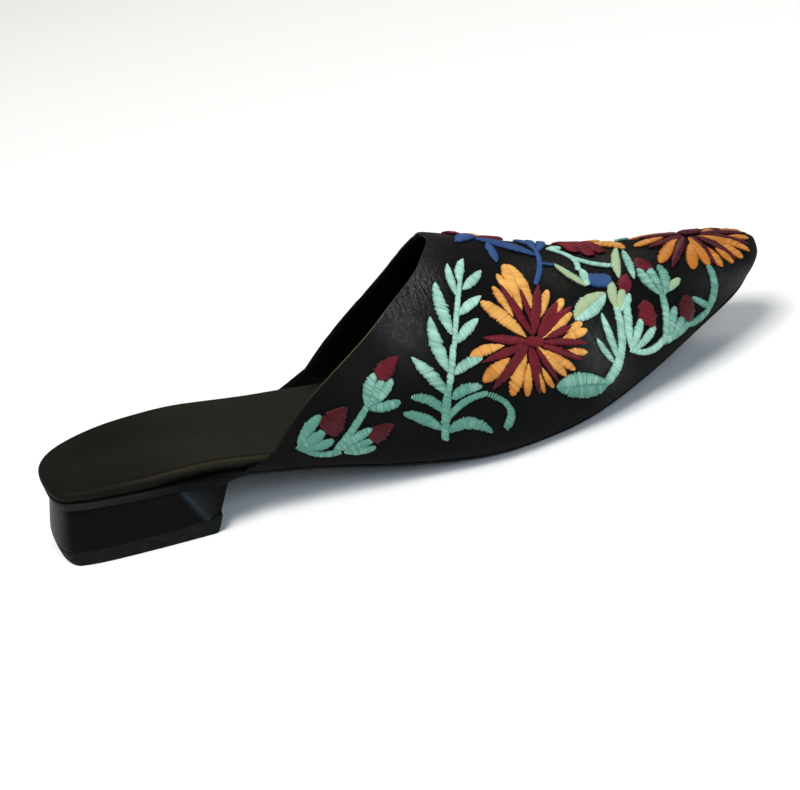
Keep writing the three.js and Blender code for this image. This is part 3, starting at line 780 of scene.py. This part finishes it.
# all stitches of one thread as a joined mesh: each is a strand from left to right, arched by puff times the
# root of 1 - s squared, five-sided, closed to a point in the leather at both ends
def threadPiece(name, random):
    strokes = [strokeStitches(shape, stroke, random) for motif in motifs.values()
               for threadName, shape, run in motif if threadName == name for stroke in run]
    left, right, ahead, puff, lift, shade = [np.concatenate(part) for part in zip(*strokes)]
    s, turn = np.array(strand["along"]), np.radians(strand["round"])
    count, rings, sides = len(left), len(s) - 2, len(turn)
    blend = ((s + 1) / 2)[None, :, None]
    flat = left[:, None] * (1 - blend) + right[:, None] * blend
    at, girth = easePattern(flat[..., 0], flat[..., 1])
    base = vampPoint(at, girth)
    alongAt = vampPoint(at + strand["probe"], girth) - base
    alongGirth = vampPoint(at, girth + strand["probe"]) - base
    up = unit(np.cross(alongAt, alongGirth))
    forward = unit(alongAt * ahead[:, None, :1] + alongGirth * ahead[:, None, 1:])
    radius = thread["across"] / 2
    height = (lift + radius * strand["seat"])[:, None] + puff[:, None] * np.sqrt(1 - s ** 2)
    height[:, [0, -1]] = -thread["sink"]
    core = base + up * height[..., None]
    ring = (np.array(strand["girths"]) * radius)[:, None, None]
    tube = (core[:, 1:-1, None] + forward[:, 1:-1, None] * np.cos(turn)[:, None] * ring
            + up[:, 1:-1, None] * np.sin(turn)[:, None] * ring)
    points = np.concatenate([core[:, :1], tube.reshape(count, rings * sides, 3), core[:, -1:]], 1)
    tip = rings * sides + 1
    k = np.arange(sides)
    beside = (k + 1) % sides
    quads = 1 + gridFaces(rings, sides, wrap=True)
    ends = np.concatenate([np.stack([0 * k, 1 + k, 1 + beside], 1),
                           np.stack([0 * k + tip, tip - sides + beside, tip - sides + k], 1)])
    offset = (np.arange(count) * (tip + 1))[:, None, None]
    # deep: painted shade at the strand's ends and lower sides, between its neighbours
    deep = np.concatenate([[1], np.add.outer(strand["deepAlong"], strand["deepRound"]).ravel(), [1]])
    return makePiece("embroidery_" + name, points.reshape(-1, 3), (quads + offset).reshape(-1, 4),
                     (ends + offset).reshape(-1, 3), threadMaterial(name),
                     {"shade": (shade[:, None] - thread["grooveShade"] * deep).ravel()})


random = np.random.default_rng(thread["seed"])
for name in thread["colours"]:
    threadPiece(name, random)


# closed layer: each profile row is (inside, share of the half width, height) on the plan outline, run from
# the heel by the lateral side to the toe and back by the medial side; rows of share 0 close on the middle
# line, and rimOf gives the rim's value at each point
def layerPiece(name, profile, insetOf, floorOf, material, rimOf=None, steps=100):
    angle = np.linspace(0, np.pi, steps)
    side = np.concatenate([-np.ones(steps), np.ones(steps - 2)])[None]
    angle = np.concatenate([angle, angle[-2:0:-1]])[None]
    inside, share, up = [column[:, None] for column in np.array(profile, float).T]
    x, y = outlinePoint(angle, side, insetOf(angleStation(angle), side, inside))
    across = x[:, -np.arange(x.shape[1])]
    x = x * (1 + share) / 2 + across * (1 - share) / 2
    grid = bend(np.stack([x, y * share, floorOf(x) + up], -1))
    values = {"rim": rimOf(inside, share, up, angleStation(angle), side) + 0 * x} if rimOf else {}
    return weldedPiece(name, grid, gridFaces(*x.shape, wrap=True), material, values)


# insole: padded sock leather wrapped over a rounded rim, with a pressed line inside the rim
insole = {
    "front": 4.66, "drawnIn": (68, 83.5), "draw": 36, "fill": 0.85,  # drawnIn: stations, lateral and medial
    "shoulderHighlight": (1.6, 0.6), "shoulderOver": 2, "line": (3.7, 0.35),  # spots by the profile's inside
    "sideShade": 0.7, "sideTo": (2.9, 3.7), "rimFrom": (10, 45), "innerRim": 0.15,
    "dark": (0.0058, 0.0055, 0.0042, 1), "worn": (0.0135, 0.0128, 0.0088, 1),
    # rim: colour of a painted highlight on the rim's shoulder; grooveShade: colour of painted shade in the
    # pressed line and on the rim's side
    "rim": (0.026, 0.0215, 0.0105, 1), "grooveShade": (0.003, 0.003, 0.0022, 1),
    "fixed": {"Specular IOR Level": 0.035}, "roughness": 0.45, "spread": 0.16, "smears": (140, 3),
    "clouds": (30, 4), "cloudStretch": (0.6, 1, 1), "cloudFrom": (0.35, 0.7), "cloudWear": 0.5,
    # seatTo, paintedLightForward: painted light, lighter forward of the heel seat
    "seatTo": (-0.125, -0.07), "paintedLightForward": 0.8,
    "grain": 1300, "pores": (2600, 2), "grainShare": 0.5, "relief": (0.35, 0.00016),
    "profile": [  # from the middle of the underside, round the rim, to the middle of the top
        (2.6, 0, -0.27), (2.6, 0.5, -0.27), (2.6, 1, -0.27), (2.0, 1, -0.05), (1.2, 1, 0.6), (0.6, 1, 1.3),
        (0.2, 1, 2.1), (0.1, 1, 2.7), (0.25, 1, 3.3), (0.65, 1, 3.85), (1.3, 1, 4.25), (2.2, 1, 4.42),
        (3.0, 1, 4.38), (3.4, 1, 4.27), (3.7, 1, 4.18), (4.0, 1, 4.28), (4.4, 1, 4.42), (4.6, 0.97, 4.5),
        (4.6, 0.92, 4.57), (4.6, 0.84, 4.6), (4.6, 0.7, 4.6), (4.6, 0.5, 4.55), (4.6, 0.25, 4.5),
        (4.6, 0, 4.5)],
}


# dark to worn by the clouds, and lighter forward of the seat as painted light, then to the rim's colour, a
# painted highlight, where its value is up, on the shoulder, and to the groove's, painted shade, where it is
# down, in the pressed line and on the rim's side
def insoleMaterial():
    material, shader, position = newMaterial("insoleLeather", insole)
    rim = position.pointValue("rim")
    clouds = position.stretch(*insole["cloudStretch"]).noise(*insole["clouds"])
    grain = (position.cells(insole["grain"]) * insole["grainShare"]
             + position.noise(*insole["pores"]) * insole["grainShare"])
    # real wear by the clouds, plus painted light forward of the heel seat
    wearAndPaintedLight = (insole["cloudWear"] * clouds.between(*insole["cloudFrom"])
               + insole["paintedLightForward"] * position.axis(0).between(*insole["seatTo"]))
    cover = wearAndPaintedLight.mix(insole["dark"], insole["worn"])
    shoulderHighlight = rim.between(0, 1).mix(cover, insole["rim"])
    colour = (0 - rim).between(0, 1).mix(shoulderHighlight, insole["grooveShade"])
    finish(shader, insole, colour, position.noise(*insole["smears"]), grain)
    return material


# the insole's inset: drawn in on each side just behind the foot of the collar
def insoleInset(at, side, inside):
    foot = np.where(side < 0, *insole["drawnIn"])
    return insole["front"] * smoothStep(at, foot - insole["draw"], foot) + inside


# value of the rim: up on its shoulder, a painted highlight, down in the pressed line and on its side,
# painted shade, on the outer side of the foot and fading to the back
def insoleRim(inside, share, up, at, side):
    shoulderHighlight = spot(inside, *insole["shoulderHighlight"]) * (up > insole["shoulderOver"])
    line = spot(inside, *insole["line"]) + insole["sideShade"] * (1 - smoothStep(up, *insole["sideTo"]))
    outer = np.where(side < 0, smoothStep(at, *insole["rimFrom"]), insole["innerRim"])
    return (share == 1) * (shoulderHighlight - line) * outer


footbed = layerPiece("insole_padded", insole["profile"], insoleInset, soleTop,
                     insoleMaterial(), insoleRim)
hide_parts("insole")

# outsole: thin sole, set back under the upper and bevelled below; the profile's inside is a share of the
# bevel, and inset and bevel are at the heel, under the upper and at the tip
outsole = {
    "inset": (0.5, 3.9, 3.5), "bevel": (0.6, 3.3, 2.0), "from": 59, "to": 71, "tip": 34,
    "dark": (0.0022, 0.0023, 0.0022, 1), "worn": (0.019, 0.019, 0.018, 1),
    "fixed": {"Specular IOR Level": 0.05}, "roughness": 0.5, "spread": 0.2,
    "scuffs": (120, 4, 0.6), "scuffStretch": (0.35, 1.6, 1), "scuffFrom": (0.5, 0.75), "scuffWear": 0.25,
    "backFrom": (0.085, 0.135), "backWear": 0.55, "backScuffs": 0.5,
    "speckle": (700, 4, 0.65), "relief": (0.3, 0.0002),
    "profile": [
        (2, 0, 0), (2, 0.5, 0), (2, 1, 0), (1.15, 1, 0), (0.98, 1, 0.05), (0.8, 1, 0.3), (0.5, 1, 0.84),
        (0.26, 1, 1.5), (0.1, 1, 2.1), (0.03, 1, 2.55), (0.1, 1, 2.76), (0.3, 1, 2.8), (2, 1, 2.8),
        (2, 0.5, 2.8), (2, 0, 2.8)],
}


# a value of the outsole's edge: at the heel, from the foot of the collar on, and at the tip
def alongSole(value, at):
    heelValue, front, tip = value
    front = front + (tip - front) * smoothStep(at, shoe["length"] - outsole["tip"], shoe["length"])
    return heelValue + (front - heelValue) * smoothStep(at, outsole["from"], outsole["to"])


# the outsole's inset, plus a share of the bevel
def outsoleInset(at, side, inside):
    return alongSole(outsole["inset"], at) + inside * alongSole(outsole["bevel"], at)


# dark to worn, most at the back of the heel and along the scuffs, with a speckle in the bump
def outsoleMaterial():
    material, shader, position = newMaterial("outsoleRubber", outsole)
    scuffs = position.stretch(*outsole["scuffStretch"]).noise(*outsole["scuffs"])
    back = (0 - position.axis(0)).between(*outsole["backFrom"])
    rubbed = (back * (outsole["backWear"] + outsole["backScuffs"] * scuffs)
              + outsole["scuffWear"] * scuffs.between(*outsole["scuffFrom"]))
    colour = rubbed.mix(outsole["dark"], outsole["worn"])
    finish(shader, outsole, colour, scuffs, position.noise(*outsole["speckle"]))
    return material


sole = layerPiece("outsole_edged", outsole["profile"], outsoleInset, underside, outsoleMaterial())
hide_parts("outsole")

# heel block: D-shaped in plan, its front corners cut to facets, (back, inward) at the bottom and the top;
# inset is at the bottom and the top, and rows are (inside, share of the height)
heel = {
    "corner": 1.6, "arcSteps": 5, "sideSteps": 42, "frontSteps": 10, "clear": 0.03,
    "inset": (0.8, 2.2), "lean": 3.0, "leanTo": 45.0, "cut": ((5.0, 4.0), (11.5, 13.0)), "sweep": 8.5,
    # edgeHighlight: a painted bluish highlight on the rounded edges where the sides end, across the arc's
    # points
    "edgeHighlight": (0.5, 0.9, 1, 0.9, 0.5), "edgeFrom": (0.2, 1),
    "dark": (0.0018, 0.0022, 0.0021, 1), "pale": (0.003, 0.0035, 0.0033, 1),
    # breast: colour of a painted warm reflection on the front face; edge: colour of the painted bluish
    # highlight
    "breast": (0.0052, 0.004, 0.0018, 1), "edge": (0.022, 0.033, 0.04, 1),
    "fixed": {"Coat Weight": 0.01, "Coat Roughness": 0.2, "Specular IOR Level": 0.04},
    "clouds": (60, 3), "paleFrom": (0.35, 0.7), "frontSlope": 0.458, "frontFrom": (-0.0853, -0.0843),
    "roughness": 0.34, "spread": 0.14, "grain": (1800, 3), "relief": (0.2, 0.00012),
    "rows": [(0.25, 0), (0.05, 0.02), (0, 0.06), (0, 0.25), (0, 0.45), (0, 0.65), (0, 0.82), (0, 0.95),
             (0.1, 1)],
}
# wearing layer of the heel: rows are (inside, share of the back bevel, height)
rubber = {
    "inset": 1.0, "cut": 1.2, "bevelBack": 0.8, "frontSlant": 2.6,
    "dark": (0.0072, 0.0074, 0.0072, 1), "worn": (0.0145, 0.0145, 0.0138, 1), "wornFrom": (0.45, 0.75),
    "fixed": {"Specular IOR Level": 0.04}, "scuffs": (240, 4, 0.6), "scuffStretch": (1, 1, 3),
    "roughness": 0.55, "spread": 0.2, "speckle": (900, 4), "relief": (0.3, 0.0002),
    "rows": [(0.5, 1, 0), (0.2, 0.93, 0.1), (0.05, 0.8, 0.5), (0, 0.55, 1.6), (0, 0.3, 2.75), (0, 0.1, 4.4),
             (0, 0, 5.4), (0.08, 0, 5.68), (0.25, 0, 5.77)],
}


# rounds the corners of a plan ring: each becomes an arc of points on the quadratic between the places where
# its two edges are the reach away, or most of the edge if that is nearer
def roundCorners(corners, reach, steps, most=0.45):
    before, after = np.roll(corners, 1, axis=0), np.roll(corners, -1, axis=0)
    t = np.linspace(0, 1, steps)[None, :, None]
    toward = [end - corners for end in (before, after)]
    size = [np.linalg.norm(edge, axis=1, keepdims=True) for edge in toward]
    start, stop = [corners + edge / length * np.minimum(reach, most * length)
                   for edge, length in zip(toward, size)]
    return start[:, None] * (1 - t) ** 2 + corners[:, None] * 2 * t * (1 - t) + stop[:, None] * t ** 2


# plan ring of the heel: lateral side from its front end to the back, medial side to its front end, then the
# facets and the front face, all rounded at their corners; the back is moved out by lean
def heelRing(inset, lean, end, breast, inward):
    angle = np.linspace(stationAngle(end), 0, heel["sideSteps"])
    lateral, medial = [np.stack(outlinePoint(angle, side, inset), -1) for side in (-1.0, 1.0)]
    ring = np.concatenate([lateral[1:], medial[1:-1][::-1]])
    ring[:, 0] -= lean * (1 - smoothStep(ring[:, 0], 0, heel["leanTo"]))
    corners = np.array([[end, medial[0, 1]], [breast, medial[0, 1] - inward],
                        [breast, lateral[0, 1] + inward], [end, lateral[0, 1]]])
    corners = np.concatenate([ring[-1:], corners, ring[:1]])
    rounded = roundCorners(corners, heel["corner"], heel["arcSteps"])[1:-1]
    across = np.linspace(rounded[1, -1], rounded[2, 0], heel["frontSteps"])[1:-1]
    return np.concatenate([ring, rounded[0], rounded[1], across, rounded[2], rounded[3]])


# stack of heel rings: rows at their heights, closed at the top and bottom by drawing the end rings in to a
# point; the edge's value is a painted highlight on the arcs where the sides end, growing upwards
def heelPiece(name, rings, heights, material):
    arc = heel["arcSteps"]
    front = 4 * arc + heel["frontSteps"] - 2
    # worn: the painted highlight on the arcs where the sides end
    worn = np.zeros(len(rings[0]))
    worn[-arc:] = worn[-front:arc - front] = heel["edgeHighlight"]
    rows = np.concatenate([np.array(rings), np.array(heights)[..., None]], -1)
    caps = [rows[end].mean(0) + (rows[end] - rows[end].mean(0)) * share
            for end, share in ((0, 0), (0, 0.5), (-1, 0.5), (-1, 0))]
    grid = bend(np.array([*caps[:2], *rows, *caps[2:]]))
    edge = np.linspace(*heel["edgeFrom"], len(grid))[:, None] * worn
    faces = gridFaces(*grid.shape[:2], wrap=True)[:, ::-1]
    return weldedPiece(name, grid, faces, material, {"edge": edge})


# dark to pale by the clouds, browner forward of the plane x + slope times z as a painted warm reflection on
# the breast, and a painted bluish highlight on the edges
def heelMaterial():
    material, shader, position = newMaterial("heelCover", heel)
    clouds = position.noise(*heel["clouds"])
    # front: where the breast's painted warm reflection lies
    front = (position.axis(0) + heel["frontSlope"] * position.axis(2)).between(*heel["frontFrom"])
    cover = clouds.between(*heel["paleFrom"]).mix(heel["dark"], heel["pale"])
    colour = position.pointValue("edge").mix(front.mix(cover, heel["breast"]), heel["edge"])
    finish(shader, heel, colour, clouds, position.noise(*heel["grain"]))
    return material


# dark to worn along the scuffs, with a speckle in the bump
def rubberMaterial():
    material, shader, position = newMaterial("heelRubber", rubber)
    scuffs = position.stretch(*rubber["scuffStretch"]).noise(*rubber["scuffs"])
    colour = scuffs.between(*rubber["wornFrom"]).mix(rubber["dark"], rubber["worn"])
    finish(shader, rubber, colour, scuffs, position.noise(*rubber["speckle"]))
    return material


base = shoe["topPiece"] + shoe["gap"]
cutLow, cutHigh = np.array(heel["cut"])
insetLow, insetHigh = heel["inset"]
rings, heights = [], []
for inside, up in heel["rows"]:
    back, inward = cutLow + (cutHigh - cutLow) * up
    ring = heelRing(insetLow + (insetHigh - insetLow) * up + inside, heel["lean"] * (1 - up) - inside,
                    shoe["heelLength"] - back - inside,
                    shoe["heelLength"] + heel["sweep"] * up - inside, inward)
    rings.append(ring)
    heights.append(base + (underside(ring[:, 0]) - heel["clear"] - base) * up)
block = heelPiece("heel_block_covered", rings, heights, heelMaterial())
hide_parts("heel_block")
rings, heights = [], []
for inside, bevel, up in rubber["rows"]:
    breast = shoe["heelLength"] - rubber["frontSlant"] * (1 - up / base)
    ring = heelRing(rubber["inset"] + inside, heel["lean"] - rubber["bevelBack"] * bevel,
                    breast - rubber["cut"] - inside, breast - inside, rubber["cut"])
    rings.append(ring)
    heights.append(np.full(len(ring), up))
topPiece = heelPiece("heel_top_piece_rubber", rings, heights, rubberMaterial())
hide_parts("heel_top_piece")


# floor: a wide pale sheet, and the world's soft light
stage = {
    "size": 16.0, "fixed": {"Base Color": (0.94, 0.94, 0.935, 1), "Specular IOR Level": 0.2},
    "roughness": 0.65, "spread": 0.1, "smears": 8, "world": (0.93, 0.95, 1, 1), "worldStrength": 0.15,
}
half = stage["size"] / 2
floorMesh = bpy.data.meshes.new("floor")
floorMesh.from_pydata([(-half, -half, 0), (half, -half, 0), (half, half, 0), (-half, half, 0)], [],
                      [(0, 1, 2, 3)])
floor = addObject("floor", floorMesh)
material, shader, position = newMaterial("floorPale", stage)
feed(shader, {"Roughness": stage["roughness"] + stage["spread"] * position.noise(stage["smears"])})
floorMesh.materials.append(material)

world = bpy.data.worlds.new("studio")
world.use_nodes = True
world.node_tree.nodes["Background"].inputs["Color"].default_value = stage["world"]
world.node_tree.nodes["Background"].inputs["Strength"].default_value = stage["worldStrength"]
bpy.context.scene.world = world
bpy.context.scene.view_settings.view_transform = "Standard"

# lights: place, aim, size in metres, watts and colour
lights = {
    "key": ((-0.9, -0.7, 2.6), (0, 0, 0.03), (1.5, 1.5), 80, (1, 0.98, 0.95)),
    "window": ((0.22, -1.45, 0.95), (0, 0, 0.04), (0.5, 1.0), 8.5, (0.7, 0.85, 1)),
    "side": ((1.5, -1.2, 0.5), (0, 0, 0.04), (0.6, 0.8), 8, (0.78, 0.9, 1)),
    "back": ((0.9, 1.5, 1.7), (0, 0, 0.04), (1.4, 1.0), 12, (1, 0.94, 0.86)),
}


# turns an object's -Z to its aim, with the frame's upright rolled about it
def aimMatrix(stand, aim, roll):
    back = (Vector(stand) - Vector(aim)).normalized()
    right = Vector((0, 0, 1)).cross(back).normalized()
    level = Matrix((right, back.cross(right), back)).transposed()
    return Matrix.Translation(stand) @ level.to_4x4() @ Matrix.Rotation(np.radians(roll), 4, "Z")


for name, (stand, aim, size, watts, colour) in lights.items():
    lamp = bpy.data.lights.new(name, "AREA")
    lamp.shape = "RECTANGLE"
    lamp.size, lamp.size_y = size
    lamp.energy, lamp.color = watts, colour
    addObject(name, lamp).matrix_world = aimMatrix(stand, aim, 0)
print("lights:", sorted(lights))

# camera: the photo's angle to the shoe, rolled as the photo is
view = {
    "stand": (-0.0853, -0.5346, 0.2748), "aim": (-0.0113, -0.0284, 0.03), "roll": -12.7,
    "lens": 72, "sensor": 36, "near": 0.01,
}
lens = bpy.data.cameras.new("camera")
lens.lens, lens.sensor_width, lens.clip_start = view["lens"], view["sensor"], view["near"]
camera = addObject("camera", lens)
camera.matrix_world = aimMatrix(view["stand"], view["aim"], view["roll"])
bpy.context.scene.camera = camera

print("scene ready")
